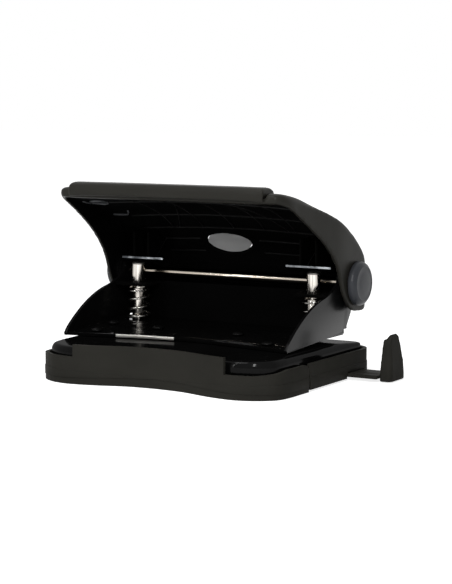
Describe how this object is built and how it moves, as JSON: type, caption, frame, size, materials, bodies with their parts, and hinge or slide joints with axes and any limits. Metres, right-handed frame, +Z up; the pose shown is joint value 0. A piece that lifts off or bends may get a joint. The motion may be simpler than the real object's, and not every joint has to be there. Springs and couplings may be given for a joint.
{
  "type": "two-hole punch",
  "caption": "Desk hole punch with a folded steel frame, two sprung pins, a lever handle, a sliding paper guide and a drop-front chip tray.",
  "frame": {"origin": "on the table plane, midway between the two punch pins, on the flat underside of the tray's moulded centre foot", "axes": "+X towards the paper guide, -Y towards the handle's free edge, +Z up"},
  "size_m": [0.1292, 0.0842, 0.0753],
  "materials": {
    "black_steel": "glossy black lacquered sheet steel",
    "tray_plastic": "dark grey-black moulded plastic, fine satin texture",
    "handle_plastic": "black moulded plastic, satin",
    "cap_plastic": "bluish dark grey plastic, satin",
    "nickel": "bright nickel-plated steel",
    "zinc": "bright zinc-plated steel strip",
    "badge_grey": "light grey plastic",
    "rubber": "black rubber"
  },
  "bodies": {
    "base": {"base_skirt": "tray_plastic", "base_plate": "black_steel", "frame": "black_steel", "rivet_1": "black_steel", "rivet_2": "black_steel", "rivet_3": "black_steel", "rivet_4": "black_steel", "rivet_5": "black_steel", "rivet_6": "black_steel", "foot_front_left": "rubber", "foot_front_right": "rubber", "foot_rear_left": "rubber", "foot_rear_right": "rubber", "axle": "nickel", "pivot_cap_left": "cap_plastic", "pivot_cap_right": "cap_plastic", "return_spring_left": "nickel", "return_spring_right": "nickel"},
    "handle": {"handle_shell": "handle_plastic", "handle_grip": "handle_plastic", "oval_badge": "badge_grey", "wear_plate_left": "zinc", "wear_plate_right": "zinc"},
    "pin_left": {"punch_pin_left": "nickel", "e_clip_left": "nickel"},
    "pin_right": {"punch_pin_right": "nickel", "e_clip_right": "nickel"},
    "guide": {"guide_bar": "tray_plastic", "paper_stop": "tray_plastic"},
    "flap": {"chip_flap": "tray_plastic"}
  },
  "joints": [
    {"name": "handle_hinge", "type": "hinge", "parent": "base", "child": "handle", "pos_m": [0, 0.0092, 0.0365], "axis": [1, 0, 0], "range_deg": [0, 38], "stiffness_Nm_per_rad": 0.38, "springref_deg": -17.19},
    {"name": "pin_left_slide", "type": "slide", "parent": "base", "child": "pin_left", "axis": [0, 0, -1], "range_m": [0, 0.0064], "deforming": ["return_spring_left"]},
    {"name": "pin_right_slide", "type": "slide", "parent": "base", "child": "pin_right", "axis": [0, 0, -1], "range_m": [0, 0.0064], "deforming": ["return_spring_right"]},
    {"name": "guide_slide", "type": "slide", "parent": "base", "child": "guide", "axis": [1, 0, 0], "range_m": [0, 0.0825]},
    {"name": "flap_hinge", "type": "hinge", "parent": "base", "child": "flap", "pos_m": [0, -0.0303, 0.0012], "axis": [1, 0, 0], "range_deg": [0, 50]}
  ],
  "couplings": [
    {"joint": "pin_left_slide", "follows": "handle_hinge", "m_per_rad": 0.0095},
    {"joint": "pin_right_slide", "follows": "handle_hinge", "m_per_rad": 0.0095}
  ]
}
